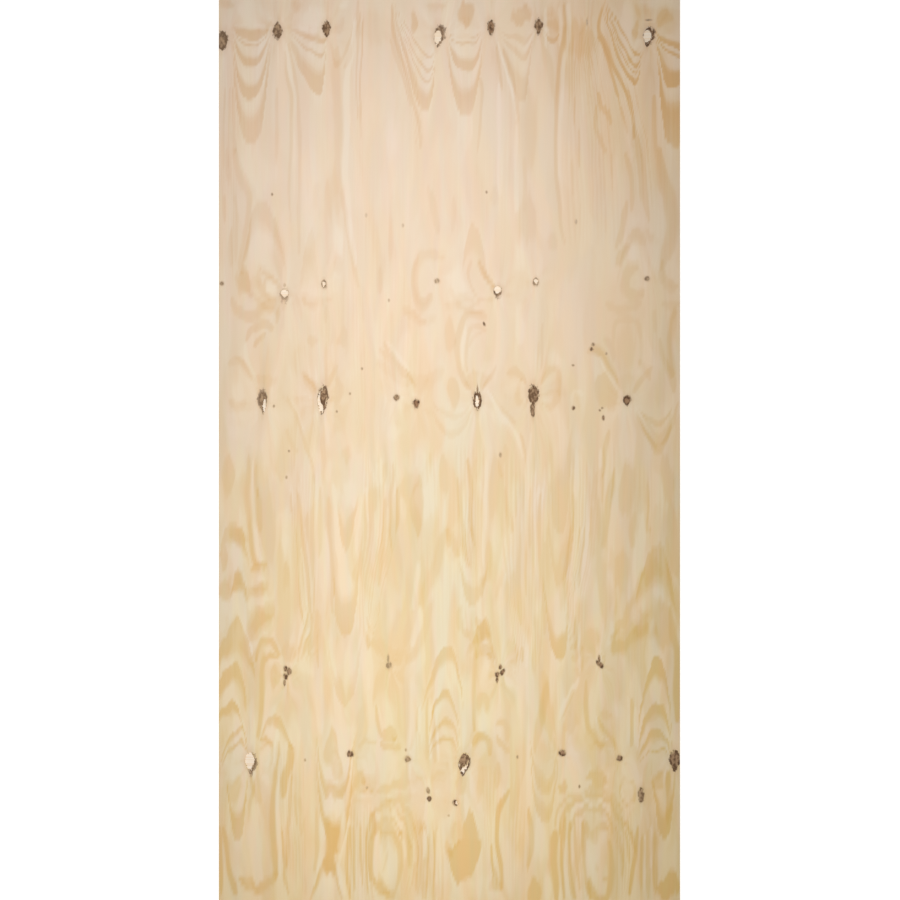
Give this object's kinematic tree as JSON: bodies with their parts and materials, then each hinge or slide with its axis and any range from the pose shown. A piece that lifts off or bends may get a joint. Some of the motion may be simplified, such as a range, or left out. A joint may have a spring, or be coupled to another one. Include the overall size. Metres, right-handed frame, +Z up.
{
  "type": "plywood sheet",
  "caption": "Flat rectangular sheet of knotty softwood plywood, with open knot holes in its face veneer, for sheathing, flooring and boxes.",
  "frame": {"origin": "centre of the underside of the sheet, which lies flat with its knotty face up", "axes": "+Z up out of the face, +Y along the sheet's length and the grain of its face, +X across the sheet"},
  "size_m": [1.22, 2.44, 0.018],
  "materials": {
    "pine_face_veneer": "sanded",
    "pine_back_veneer": "sanded",
    "sawn_plies": "sawn",
    "knot_wood": "sanded"
  },
  "bodies": {
    "root": {"plywood_sheet": "pine_face_veneer"}
  },
  "joints": []
}
